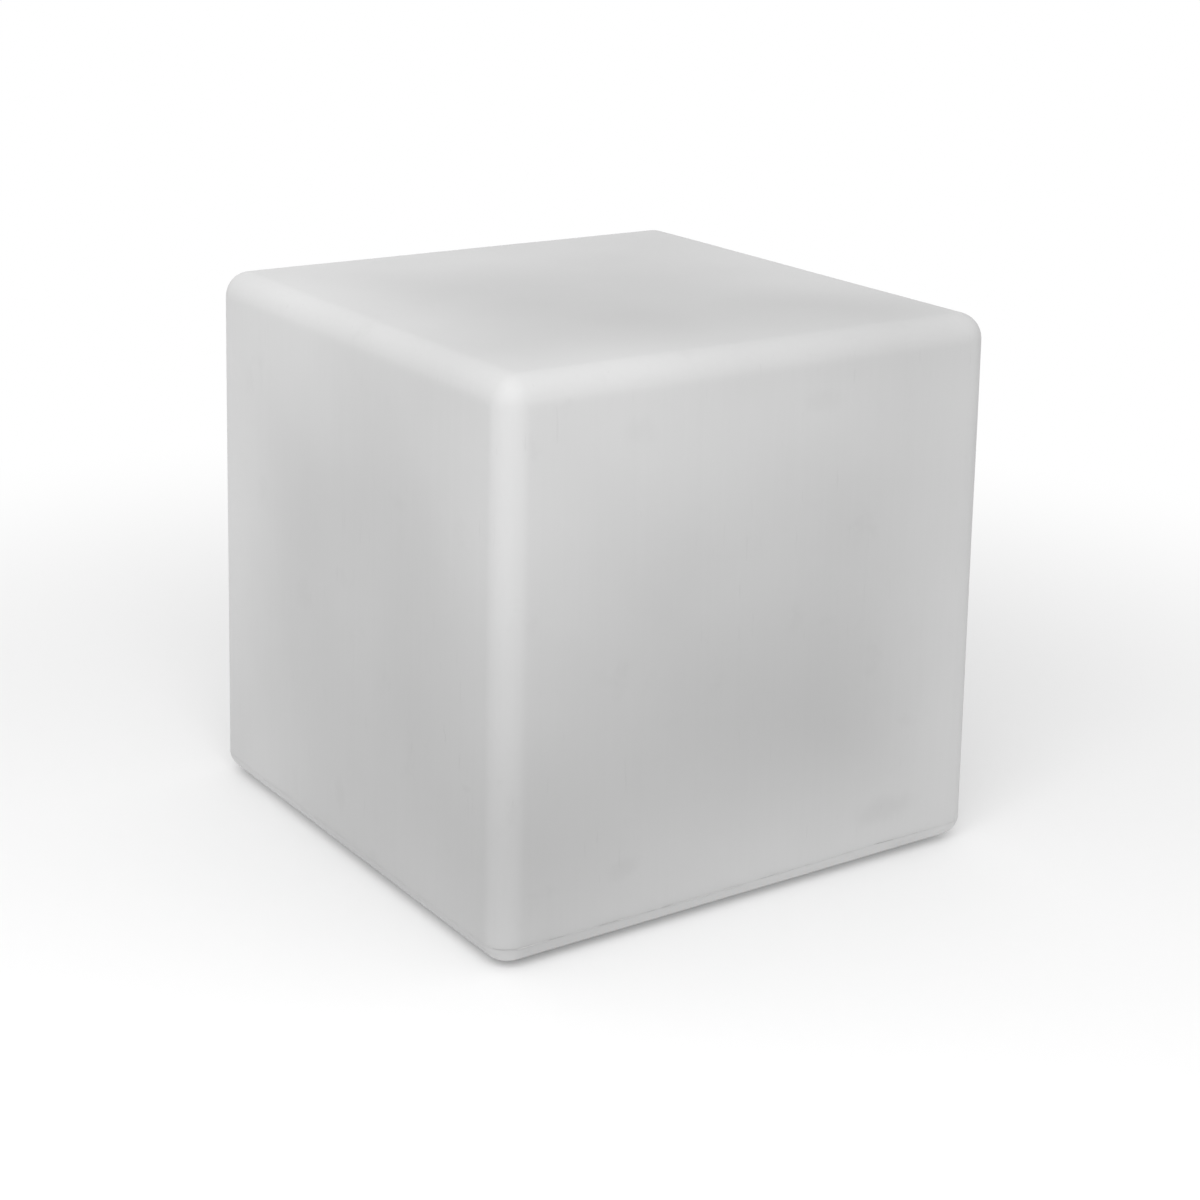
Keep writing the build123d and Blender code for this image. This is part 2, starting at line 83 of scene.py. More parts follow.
# ---- moulded cube ----
# One hollow moulding of milky polyethylene, turned in its mould while it melts, so that the wall is
# thicker along the edges and a little cloudy in the faces. Its colour is paler along the edges, partly for
# the thicker wall and partly as painted glow of light through the corners. A round pocket in the underside
# takes the base module, and four dimples take the feet.

shell_base = 0.002
shell_height = 0.383
shell_width = 0.400
shell_lean = math.tan(math.radians(1.0))
edge_radius = 0.018
low_radius = 0.015
shell_wall = 0.004
pocket_radius = 0.095
pocket_top = 0.024
mouth_radius = 0.002
opening_radius = 0.075
insert_boss_radius = 0.0065
insert_boss_height = 0.012
module_circle = 0.082
insert_hole_radius = 0.00325
insert_hole_depth = 0.0125
dimple_radius = 0.0123
dimple_depth = 0.002
foot_offset = 0.150
face_ripple = 0.0005
skin_rows = 96
hollow_rows = 40
overshoot = 0.001               # how far a cutting tool reaches past the face that it opens
tool_foot = shell_base - 0.010  # where the tools that come from below begin


def put(tree, kind, inputs=None, **settings):
    """One node of a tree, with its settings, and its sockets set or linked."""
    made = tree.nodes.new(kind)
    for name, value in settings.items():
        setattr(made, name, value)
    for socket, value in (inputs or {}).items():
        if isinstance(value, bpy.types.NodeSocket):
            tree.links.new(value, made.inputs[socket])
        else:
            made.inputs[socket].default_value = value
    return made


def reckon(tree, operation, *values):
    """The result of one sum on numbers."""
    return put(tree, "ShaderNodeMath", dict(enumerate(values)), operation=operation).outputs[0]


def product(tree, *factors):
    """Several numbers multiplied together."""
    result = factors[0]
    for factor in factors[1:]:
        result = reckon(tree, "MULTIPLY", result, factor)
    return result


def reckon_vector(tree, operation, *values):
    """The result of one sum on vectors."""
    made = put(tree, "ShaderNodeVectorMath", dict(enumerate(values)), operation=operation)
    return made.outputs["Value" if operation in ("LENGTH", "DOT_PRODUCT", "DISTANCE") else "Vector"]


def scaled(tree, vector, factor):
    """A vector times a number."""
    return put(tree, "ShaderNodeVectorMath", {0: vector, "Scale": factor}, operation="SCALE").outputs[0]


def vector_of(tree, x=0.0, y=0.0, z=0.0):
    return put(tree, "ShaderNodeCombineXYZ", {0: x, 1: y, 2: z}).outputs[0]


def parts_of(tree, vector):
    return put(tree, "ShaderNodeSeparateXYZ", {0: vector}).outputs


def between(tree, share, low, high):
    """A number that goes from low to high with the share."""
    return put(tree, "ShaderNodeMix", {0: share, 2: low, 3: high}).outputs[0]


def new_tree(name, kind, inputs, outputs):
    """A node tree with named inputs and outputs, and its two end nodes."""
    tree = bpy.data.node_groups.new(name, kind)
    for label, socket_type, value in inputs:
        socket = tree.interface.new_socket(label, in_out="INPUT", socket_type=socket_type)
        if value is not None:
            socket.default_value = value
    for label, socket_type in outputs:
        tree.interface.new_socket(label, in_out="OUTPUT", socket_type=socket_type)
    return tree, tree.nodes.new("NodeGroupInput").outputs, tree.nodes.new("NodeGroupOutput").inputs


def form_tree(name, inputs):
    """A geometry tree with named number inputs and a material."""
    numbers = [(label, "NodeSocketInt" if isinstance(value, int) else "NodeSocketFloat", value)
               for label, value in inputs.items()]
    return new_tree(name, "GeometryNodeTree", numbers + [("Material", "NodeSocketMaterial", None)],
                    [("Mesh", "NodeSocketGeometry")])


def end_form(tree, given, result, mesh, smooth_angle=30.0):
    """Realized, shaded smooth but for its sharp edges, and given its material."""
    real = put(tree, "GeometryNodeRealizeInstances", {0: mesh}).outputs[0]
    angle = put(tree, "GeometryNodeInputMeshEdgeAngle").outputs[0]
    sharp = reckon(tree, "LESS_THAN", angle, math.radians(smooth_angle))
    faces = put(tree, "GeometryNodeSetShadeSmooth", {0: real}, domain="FACE").outputs[0]
    edges = put(tree, "GeometryNodeSetShadeSmooth", {0: faces, "Shade Smooth": sharp},
                domain="EDGE").outputs[0]
    painted = put(tree, "GeometryNodeSetMaterial", {0: edges, "Material": given["Material"]}).outputs[0]
    tree.links.new(painted, result["Mesh"])


def grow(name, tree, material, **values):
    """The mesh that a geometry tree makes, as a plain object."""
    piece = bpy.data.objects.new(name, bpy.data.meshes.new(name))
    scene.collection.objects.link(piece)
    modifier = piece.modifiers.new("form", "NODES")
    modifier.node_group = tree
    values["Material"] = material
    for item in tree.interface.items_tree:
        if item.item_type == "SOCKET" and item.name in values:
            modifier[item.identifier] = values[item.name]
    made = bpy.data.meshes.new_from_object(piece.evaluated_get(bpy.context.evaluated_depsgraph_get()))
    piece.modifiers.remove(modifier)
    piece.data = made
    made.name = name
    return piece


def position(tree):
    return put(tree, "GeometryNodeInputPosition").outputs[0]


def shifted(tree, shape, offset):
    return put(tree, "GeometryNodeTransform", {0: shape, "Translation": offset}).outputs[0]


def reshaped(tree, mesh, place):
    """A mesh whose points go to new places."""
    return put(tree, "GeometryNodeSetPosition", {"Geometry": mesh, "Position": place}).outputs[0]


def disc(tree, radius, low, high, rows=1, vertices=96):
    """An upright cylinder between two heights."""
    made = put(tree, "GeometryNodeMeshCylinder", {"Vertices": vertices, "Side Segments": rows,
                                                  "Radius": radius, "Depth": high - low}).outputs["Mesh"]
    return shifted(tree, made, (0, 0, (low + high) / 2))


def ringed(tree, shape, count, radius, first=0.0):
    """Copies of a shape, evenly spaced on a circle."""
    circle = put(tree, "GeometryNodeMeshCircle", {"Vertices": count, "Radius": radius}).outputs[0]
    turned = put(tree, "GeometryNodeTransform", {
        0: circle, "Rotation": (0, 0, math.radians(first))}).outputs[0]
    copies = put(tree, "GeometryNodeInstanceOnPoints", {0: turned, "Instance": shape}).outputs[0]
    return put(tree, "GeometryNodeRealizeInstances", {0: copies}).outputs[0]


def cut(tree, body, *tools):
    """A body less some tools."""
    made = put(tree, "GeometryNodeMeshBoolean", {0: body}, operation="DIFFERENCE", solver="MANIFOLD")
    for tool in tools:
        tree.links.new(tool, made.inputs[1])
    return made.outputs[0]


def rounded_block_tree():
    """A block with round edges, whose walls lean in as they rise, rippled a little by its cooling."""
    tree, given, result = form_tree("rounded block", {
        "Width": shell_width, "Height": shell_height, "Base": shell_base, "Lean": shell_lean,
        "Edge radius": edge_radius, "Low radius": low_radius, "Ripple": 0.0, "Rows": skin_rows, "Seed": 0.0})
    half = product(tree, given["Width"], 0.5)
    half_high = product(tree, given["Height"], 0.5)
    size = vector_of(tree, given["Width"], given["Width"], given["Height"])
    cube = put(tree, "GeometryNodeMeshCube", {"Size": size, "Vertices X": given["Rows"],
                                              "Vertices Y": given["Rows"], "Vertices Z": given["Rows"]})
    place = position(tree)
    low = reckon(tree, "LESS_THAN", parts_of(tree, place)[2], 0.0)
    radii = vector_of(tree, given["Edge radius"], given["Edge radius"],
                      between(tree, low, given["Edge radius"], given["Low radius"]))
    core = reckon_vector(tree, "SUBTRACT", vector_of(tree, half, half, half_high), radii)
    kept = reckon_vector(tree, "MINIMUM", core,
                         reckon_vector(tree, "MAXIMUM", place, scaled(tree, core, -1.0)))
    outward = reckon_vector(tree, "NORMALIZE", reckon_vector(
        tree, "DIVIDE", reckon_vector(tree, "SUBTRACT", place, kept), radii))
    rounded = reckon_vector(tree, "ADD", kept, reckon_vector(tree, "MULTIPLY", outward, radii))
    noise = put(tree, "ShaderNodeTexNoise", {"Vector": rounded, "W": given["Seed"], "Scale": 9.0,
                                             "Detail": 1.0}, noise_dimensions="4D").outputs[0]
    sink = product(tree, noise, given["Ripple"], -1.0)
    rounded = reckon_vector(tree, "ADD", rounded, scaled(tree, outward, sink))
    rise = reckon(tree, "ADD", parts_of(tree, rounded)[2], half_high)
    leaned = product(tree, rise, given["Lean"])
    shrink = reckon(tree, "SUBTRACT", 1.0, reckon(tree, "DIVIDE", leaned, half))
    leaning = reckon_vector(tree, "MULTIPLY", rounded, vector_of(tree, shrink, shrink, 1.0))
    stood = vector_of(tree, z=reckon(tree, "ADD", half_high, given["Base"]))
    block = reshaped(tree, cube.outputs["Mesh"], reckon_vector(tree, "ADD", leaning, stood))
    tree.links.new(block, result["Mesh"])
    return tree


def flared_disc(tree, radius, low, high, flare):
    """A cylinder that opens out at its foot, as a tool for a hole with a rounded mouth."""
    row_height = flare / 4
    made = disc(tree, radius, low, high, rows=round((high - low) / row_height), vertices=192)
    place = position(tree)
    rise = reckon(tree, "SUBTRACT", parts_of(tree, place)[2], shell_base)
    up_to_flare = put(tree, "ShaderNodeClamp", {0: rise, 1: 0.0, 2: flare}).outputs[0]
    short = reckon(tree, "SUBTRACT", flare, up_to_flare)
    drop = reckon(tree, "SUBTRACT", flare * flare, product(tree, short, short))
    widening = reckon(tree, "SUBTRACT", flare, reckon(tree, "SQRT", drop))
    grown = reckon(tree, "ADD", 1.0, reckon(tree, "DIVIDE", widening, radius))
    wide = reckon_vector(tree, "MULTIPLY", place, vector_of(tree, grown, grown, 1.0))
    return reshaped(tree, made, wide)


def cube_shell_tree():
    """The moulding: its skin, the hollow inside, the pocket, the opening and the dimples."""
    tree, given, result = form_tree("cube shell", {
        "Width": shell_width, "Height": shell_height, "Wall": shell_wall, "Edge radius": edge_radius,
        "Low radius": low_radius, "Lean": shell_lean, "Ripple": face_ripple, "Seed": 3.0})
    block = rounded_block_tree()
    names = ("Width", "Height", "Edge radius", "Low radius", "Lean", "Seed", "Ripple")
    full = {name: given[name] for name in names}
    skin = put(tree, "GeometryNodeGroup", {**full, "Rows": skin_rows}, node_tree=block).outputs[0]
    both_walls = product(tree, given["Wall"], 2.0)
    thinner = {"Width": reckon(tree, "SUBTRACT", given["Width"], both_walls),
               "Height": reckon(tree, "SUBTRACT", given["Height"], both_walls),
               "Edge radius": reckon(tree, "SUBTRACT", given["Edge radius"], given["Wall"]),
               "Low radius": reckon(tree, "SUBTRACT", given["Low radius"], given["Wall"]),
               "Base": reckon(tree, "ADD", shell_base, given["Wall"]), "Rows": hollow_rows, "Ripple": 0.0}
    core = put(tree, "GeometryNodeGroup", {**full, **thinner}, node_tree=block).outputs[0]
    deck_top = pocket_top + shell_wall
    dimple_top = shell_base + dimple_depth
    foot_circle = foot_offset * math.sqrt(2)
    boss = disc(tree, insert_boss_radius, pocket_top, deck_top + insert_boss_height, vertices=32)
    bosses = ringed(tree, boss, 6, module_circle)
    around_dimple = disc(tree, dimple_radius + shell_wall, tool_foot, dimple_top + shell_wall, vertices=48)
    around_dimples = ringed(tree, around_dimple, 4, foot_circle, first=45)
    around_pocket = disc(tree, pocket_radius + shell_wall, tool_foot, deck_top)
    hollow = cut(tree, core, around_pocket, bosses, around_dimples)
    dimple = disc(tree, dimple_radius, tool_foot, dimple_top, vertices=64)
    dimples = ringed(tree, dimple, 4, foot_circle, first=45)
    hole = disc(tree, insert_hole_radius, pocket_top - overshoot, pocket_top + insert_hole_depth, vertices=24)
    holes = ringed(tree, hole, 6, module_circle)
    pocket = flared_disc(tree, pocket_radius, tool_foot, pocket_top, mouth_radius)
    opening = disc(tree, opening_radius, pocket_top - overshoot, deck_top + overshoot)
    shell = cut(tree, cut(tree, skin, hollow), pocket, opening, dimples, holes)
    end_form(tree, given, result, shell)
    return tree


def new_material(name, roughness, others=None):
    """A material, its Principled shader with what is the same all over, and the place of its patterns."""
    material = bpy.data.materials.new(name)
    material.use_nodes = True
    tree = material.node_tree
    shader = tree.nodes["Principled BSDF"]
    for socket, value in {"Roughness": roughness, **(others or {})}.items():
        shader.inputs[socket].default_value = value
    place = put(tree, "ShaderNodeTexCoord").outputs["Object"]
    return material, tree, shader, place


def mixed(tree, share, low, high):
    """A colour between two colours."""
    return put(tree, "ShaderNodeMix", {0: share, 6: low, 7: high}, data_type="RGBA").outputs[2]


def tinted(tree, shader, share, first, second):
    """The shader's colour, between two given as red, green and blue."""
    tree.links.new(mixed(tree, share, (*first, 1), (*second, 1)), shader.inputs["Base Color"])


def relief(tree, shader, height, strength, depth):
    """The fine relief of a surface, from a height that changes over it."""
    made = put(tree, "ShaderNodeBump", {"Strength": strength, "Distance": depth, "Height": height})
    tree.links.new(made.outputs[0], shader.inputs["Normal"])


def noise_at(tree, place, scale, detail=2.0, roughness=0.5):
    return put(tree, "ShaderNodeTexNoise", {"Vector": place, "Scale": scale, "Detail": detail,
                                            "Roughness": roughness}).outputs[0]


def eased(tree, value, low, high, to_low=0.0, to_high=1.0):
    """A value moved smoothly from one range to another."""
    return put(tree, "ShaderNodeMapRange", {"Value": value, "From Min": low, "From Max": high,
                                            "To Min": to_low, "To Max": to_high},
               interpolation_type="SMOOTHSTEP").outputs[0]


def edge_pallor_and_glow_group():
    """How near a point of the cube is to its edges, where the wall is thick and a painted glow stands in for
    light through the translucent corners: 0 in a face, 1 along an edge; and the band of the round edge
    itself, but for the lowest, which carries a painted highlight."""
    tree, given, result = new_tree("edge pallor and painted glow", "ShaderNodeTree", [
        ("Place", "NodeSocketVector", None), ("Reach", "NodeSocketFloat", 0.1)],
        [("Mask", "NodeSocketFloat"), ("Highlight band", "NodeSocketFloat")])
    x, y, z = parts_of(tree, reckon_vector(tree, "SUBTRACT", given["Place"],
                                           (0, 0, shell_base + shell_height / 2)))
    middle_half_width = (shell_width - shell_lean * shell_height) / 2
    side = reckon(tree, "SUBTRACT", middle_half_width, product(tree, z, shell_lean))
    to_x = reckon(tree, "SUBTRACT", side, reckon(tree, "ABSOLUTE", x))
    to_y = reckon(tree, "SUBTRACT", side, reckon(tree, "ABSOLUTE", y))
    to_z = reckon(tree, "SUBTRACT", shell_height / 2, reckon(tree, "ABSOLUTE", z))
    to_top = reckon(tree, "SUBTRACT", shell_height / 2, z)
    softness = 0.05
    least_xy = reckon(tree, "SMOOTH_MIN", to_x, to_y, softness)
    most_xy = reckon(tree, "SMOOTH_MAX", to_x, to_y, softness)
    lesser = reckon(tree, "SMOOTH_MIN", most_xy, to_z, softness)
    second_least = reckon(tree, "SMOOTH_MAX", least_xy, lesser, softness)
    near = reckon(tree, "SUBTRACT", 1.0, reckon(tree, "DIVIDE", second_least, given["Reach"]))
    tree.links.new(put(tree, "ShaderNodeClamp", {0: near}).outputs[0], result["Mask"])
    # the band of the upper and upright round edges, where a painted highlight goes
    upper = reckon(tree, "MAXIMUM", reckon(tree, "MINIMUM", to_x, to_y),
                   reckon(tree, "MINIMUM", reckon(tree, "MAXIMUM", to_x, to_y), to_top))
    tree.links.new(eased(tree, upper, 0.75 * edge_radius, 1.1 * edge_radius, 1.0, 0.0), result["Highlight band"])
    return tree


def mould_grain_group():
    """The skin that a mould leaves: a fine height, and a soft uneven tone."""
    tree, given, result = new_tree("mould grain", "ShaderNodeTree", [
        ("Place", "NodeSocketVector", None), ("Grain size", "NodeSocketFloat", 0.0012),
        ("Cloud size", "NodeSocketFloat", 0.1)], [("Height", "NodeSocketFloat"), ("Tone", "NodeSocketFloat")])
    fine = noise_at(tree, given["Place"], reckon(tree, "DIVIDE", 1.0, given["Grain size"]), 2.0)
    peel = noise_at(tree, given["Place"], reckon(tree, "DIVIDE", 0.12, given["Grain size"]), 1.0)
    tree.links.new(reckon(tree, "ADD", product(tree, fine, 0.5), peel), result["Height"])
    cloud = noise_at(tree, given["Place"], reckon(tree, "DIVIDE", 1.0, given["Cloud size"]), 3.0, 0.45)
    tree.links.new(eased(tree, cloud, 0.28, 0.72), result["Tone"])
    return tree


def mark(tree, place, centre, size):
    """One soft patch of wear: 1 at its centre, 0 from its half size outwards."""
    away = reckon_vector(tree, "DIVIDE", reckon_vector(tree, "SUBTRACT", place, centre), size)
    return eased(tree, reckon_vector(tree, "LENGTH", away), 0.2, 1.0, 1.0, 0.0)


def handling_group():
    """Marks of handling: faint smudges, and short upright rubs and scratches."""
    tree, given, result = new_tree("handling marks", "ShaderNodeTree", [
        ("Place", "NodeSocketVector", None), ("Smudge size", "NodeSocketFloat", 0.05),
        ("Scratch size", "NodeSocketFloat", 0.02)],
        [("Smudge", "NodeSocketFloat"), ("Scratch", "NodeSocketFloat")])
    smudge = noise_at(tree, given["Place"], reckon(tree, "DIVIDE", 1.0, given["Smudge size"]), 4.0, 0.6)
    tree.links.new(eased(tree, smudge, 0.61, 0.74), result["Smudge"])
    drawn = reckon_vector(tree, "MULTIPLY", given["Place"], (12.0, 12.0, 1.0))
    scratch = noise_at(tree, drawn, reckon(tree, "DIVIDE", 0.6, given["Scratch size"]), 2.0, 0.5)
    tree.links.new(eased(tree, scratch, 0.70, 0.76), result["Scratch"])
    return tree


edge_pallor_and_glow = edge_pallor_and_glow_group()
mould_grain = mould_grain_group()
handling_marks = handling_group()


def grained(tree, place, grain, cloud):
    """The height and the tone of a moulded skin."""
    return put(tree, "ShaderNodeGroup", {"Place": place, "Grain size": grain, "Cloud size": cloud},
               node_tree=mould_grain).outputs


def handled(tree, place, smudge, scratch):
    """The smudges and the scratches of a handled surface."""
    return put(tree, "ShaderNodeGroup", {"Place": place, "Smudge size": smudge, "Scratch size": scratch},
               node_tree=handling_marks).outputs


wall_tone = 0.637
face_share = 0.86               # tone in the middle of a face, as a share of the full tone
edge_pallor_and_glow_gain = 0.125               # how much paler it is along the edges: thicker wall, and painted glow of light through the corners
edge_reach = 0.145              # how far that spreads into a face
edge_highlight_gain = 0.028               # painted highlight on the round edge itself
rim_painted_shade = 0.15                # painted shade round the lowest rim, next to the floor
# heights below which the painted shade is full, and above which there is none
rim_shade_deepest, rim_shade_ends = 0.003, 0.009
stray = 0.012                   # how far the marks stray from plain round shapes
smudge_roughness = 0.5
wall_roughness = 0.6
# where the melt lay thicker or thinner, and painted light and shade: the darker patches are mostly painted
# shade,
#  the paler far part of the left painted glow; centre, reach, and how much paler or darker
melt_and_shade_patches = (((-0.20, -0.22, 0.10), 0.25, -0.20),        # low on the near corner
                ((-0.18, -0.20, 0.10), 0.08, -0.05),
                ((0.05, -0.20, 0.12), 0.15, -0.12),         # low on the front
                ((-0.20, 0.00, 0.00), 0.15, -0.12),         # low on the left
                ((-0.20, 0.20, 0.25), 0.30, 0.12),          # far part of the left
                ((-0.22, 0.10, 0.36), 0.15, 0.06),
                ((-0.05, -0.05, 0.40), 0.15, -0.05),        # middle of the top
                ((0.02, 0.10, 0.40), 0.15, 0.08),
                ((0.18, 0.15, 0.40), 0.15, 0.03),
                ((0.12, -0.15, 0.42), 0.13, -0.16),         # front margin of the top
                ((-0.02, -0.15, 0.42), 0.13, -0.10),
                ((-0.15, -0.12, 0.40), 0.10, -0.08),
                ((0.20, 0.05, 0.15), 0.15, -0.10),          # right and back, which are out of sight
                ((0.00, 0.20, 0.15), 0.20, -0.10),
                ((0.15, 0.20, 0.05), 0.15, -0.08))
# faint rubs and smudges that handling left: centre, half size, and how much darker
wall_marks = (((-0.104, -0.199, 0.053), (0.017, 0.02, 0.011), 0.035),
              ((0.118, -0.199, 0.042), (0.036, 0.02, 0.016), 0.055),
              ((-0.096, -0.194, 0.343), (0.020, 0.02, 0.012), 0.025),
              ((0.049, -0.194, 0.344), (0.024, 0.02, 0.010), 0.025),
              ((-0.199, 0.010, 0.048), (0.02, 0.010, 0.016), 0.03),
              ((-0.198, -0.158, 0.115), (0.02, 0.008, 0.005), 0.03),
              ((-0.198, -0.130, 0.143), (0.02, 0.0012, 0.008), 0.06),
              ((-0.198, -0.149, 0.128), (0.02, 0.0012, 0.007), 0.06),
              ((0.140, -0.200, 0.006), (0.036, 0.02, 0.010), 0.05))


def milky_polyethylene():
    """Undyed polyethylene: paler where it is thick and with a painted glow along the edges, a painted
    highlight on the round edges, broad patches of painted light and shade, painted shade round the lowest
    rim; cloudy, faintly textured by the mould and by handling.
    """
    material, tree, shader, place = new_material("milky polyethylene", wall_roughness, {
        "IOR": 1.5, "Specular IOR Level": 0.35, "Subsurface Weight": 0.15,
        "Subsurface Radius": (0.006, 0.006, 0.006), "Subsurface Scale": 1.0})
    pallor = put(tree, "ShaderNodeGroup", {"Place": place, "Reach": edge_reach},
                 node_tree=edge_pallor_and_glow).outputs
    height = parts_of(tree, place)[2]
    # paler along the edges, for the thicker wall and as painted glow of light through the corners
    tones = [eased(tree, pallor["Mask"], 0.0, 1.0, face_share, face_share + edge_pallor_and_glow_gain),
             # painted highlight on the round edges
             between(tree, pallor["Highlight band"], 1.0, 1.0 + edge_highlight_gain),
             # painted shade round the lowest rim
             eased(tree, height, rim_shade_deepest, rim_shade_ends, 1.0 - rim_painted_shade, 1.0)]
    # broad patches of painted light and shade, partly uneven melt
    for centre, span, change in melt_and_shade_patches:
        away = reckon_vector(tree, "DISTANCE", place, centre)
        tones.append(eased(tree, away, 0.0, span, 1.0 + change, 1.0))
    skin = grained(tree, place, 0.0012, 0.16)
    streak = noise_at(tree, reckon_vector(tree, "MULTIPLY", place, (260.0, 260.0, 5.0)), 1.0, 2.0)
    marks = handled(tree, place, 0.045, 0.02)
    tones += [between(tree, skin["Tone"], 0.975, 1.02), between(tree, streak, 0.99, 1.01),
              between(tree, marks["Smudge"], 1.0, 0.97), between(tree, marks["Scratch"], 1.0, 0.965)]
    noise = put(tree, "ShaderNodeTexNoise", {"Vector": place, "Scale": 90.0, "Detail": 3.0})
    strayed = reckon_vector(tree, "SUBTRACT", noise.outputs["Color"], (0.5, 0.5, 0.5))
    ragged = reckon_vector(tree, "ADD", place, scaled(tree, strayed, stray))
    for centre, size, darker in wall_marks:
        tones.append(between(tree, mark(tree, ragged, centre, size), 1.0, 1.0 - darker))
    tree.links.new(product(tree, *tones, wall_tone), shader.inputs["Base Color"])
    tree.links.new(between(tree, marks["Smudge"], wall_roughness, smudge_roughness),
                   shader.inputs["Roughness"])
    relief(tree, shader, skin["Height"], 0.1, 0.0002)
    return material


def fitted(piece, slot, body, *replaced):
    """A finished piece: its slot, which is not used, the node that it stands for, and the body that it moves
    with.
    """
    if replaced:
        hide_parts(*replaced)
    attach(piece, body)


polyethylene = milky_polyethylene()
cube_shell = grow("cube_shell_skin", cube_shell_tree(), polyethylene)
fitted(cube_shell, "moulded_shell", "light", "cube_shell")

# ---- parting line ----
# The two halves of the mould met low on the walls. The flash that they left was trimmed with a blade,
# which leaves a thin, uneven, broken line all the way round, darker grey here and there along it.

parting_height = 0.0165
parting_wave = 0.0010
flash_thickness = 0.00028
flash_step = 0.0009
elsewhere = 0.3                 # its thickness away from the front, as a share
front_fade = (-0.197, -0.185)   # where it thins, back from the front and towards the right corner
corner_fade = (0.13, 0.18)
front_wall = -0.19
flash_plain, flash_darker = 0.56, 0.40
# where it is darker grey along the front: middle and half length
darker_stretches = ((-0.193, 0.012), (-0.155, 0.010), (-0.115, 0.010), (-0.077, 0.015), (0.016, 0.007),
                   (0.043, 0.013), (0.071, 0.014), (0.119, 0.013))


def parting_flash_tree():
    """A thin uneven bead that follows the rounded square of the walls at the parting height."""
    tree, given, result = form_tree("parting flash", {
        "Height": parting_height, "Wave": parting_wave, "Thickness": flash_thickness, "Step": flash_step,
        "Half width": shell_width / 2 - shell_lean * (parting_height - shell_base), "Radius": edge_radius,
        "Seed": 5.0})
    width = product(tree, given["Half width"], 2.0)
    square = put(tree, "GeometryNodeCurvePrimitiveQuadrilateral", {"Width": width, "Height": width})
    path = put(tree, "GeometryNodeFilletCurve", {
        0: square.outputs[0], "Count": 12, "Radius": given["Radius"]}, mode="POLY").outputs[0]
    path = put(tree, "GeometryNodeResampleCurve", {0: path, "Length": given["Step"]},
               mode="LENGTH").outputs[0]
    place = position(tree)

    def wander(scale, detail):
        return put(tree, "ShaderNodeTexNoise", {"Vector": place, "W": given["Seed"], "Scale": scale,
                                                "Detail": detail}, noise_dimensions="4D").outputs[0]

    lift = product(tree, reckon(tree, "SUBTRACT", wander(14.0, 3.0), 0.5), product(tree, given["Wave"], 4.0))
    risen = vector_of(tree, z=reckon(tree, "ADD", given["Height"], lift))
    path = put(tree, "GeometryNodeSetPosition", {"Geometry": path, "Offset": risen}).outputs[0]
    ragged = eased(tree, wander(90.0, 2.0), 0.35, 0.62, 0.15, 1.0)
    x, y = parts_of(tree, place)[:2]
    front = product(tree, eased(tree, y, *front_fade, 1.0, elsewhere),
                    eased(tree, x, *corner_fade, 1.0, elsewhere))
    thick = product(tree, ragged, front, given["Thickness"])
    section = put(tree, "GeometryNodeCurvePrimitiveCircle", {"Resolution": 6, "Radius": 1.0}).outputs[0]
    bead = put(tree, "GeometryNodeCurveToMesh", {
        0: path, "Profile Curve": section, "Scale": thick}).outputs[0]
    end_form(tree, given, result, bead, smooth_angle=80.0)
    return tree


def trimmed_flash():
    """The cut edge of the flash, darker grey here and there."""
    material, tree, shader, place = new_material("trimmed flash", roughness=0.6)
    x, y = parts_of(tree, place)[:2]
    # darker grey here and there, and most of all in the listed stretches along the front
    darkening = eased(tree, noise_at(tree, place, 35.0, 3.0), 0.55, 0.65, 0.0, 0.2)
    front = reckon(tree, "LESS_THAN", y, front_wall)
    for middle, half_length in darker_stretches:
        away = reckon(tree, "ABSOLUTE", reckon(tree, "SUBTRACT", x, middle))
        here = product(tree, front, eased(tree, away, 0.5 * half_length, half_length, 1.0, 0.0))
        darkening = reckon(tree, "MAXIMUM", darkening, here)
    fine = noise_at(tree, place, 700.0, 2.0)
    darkened = product(tree, darkening, between(tree, fine, 0.6, 1.0))
    tree.links.new(between(tree, darkened, flash_plain, flash_darker), shader.inputs["Base Color"])
    relief(tree, shader, fine, 0.3, 0.0001)
    return material


parting_flash = grow("parting_flash", parting_flash_tree(), trimmed_flash())
fitted(parting_flash, "moulded_shell", "light")

# ---- feet ----
# Four moulded rubber feet, glued into the dimples of the base. Each has a rounded lower rim, a shallow
# cup and a fine ring in its tread, and picks up dust.

foot_radius = 0.012
foot_thickness = 0.004
foot_low_rim = 0.001
foot_high_rim = 0.0003
turned_sides = 64


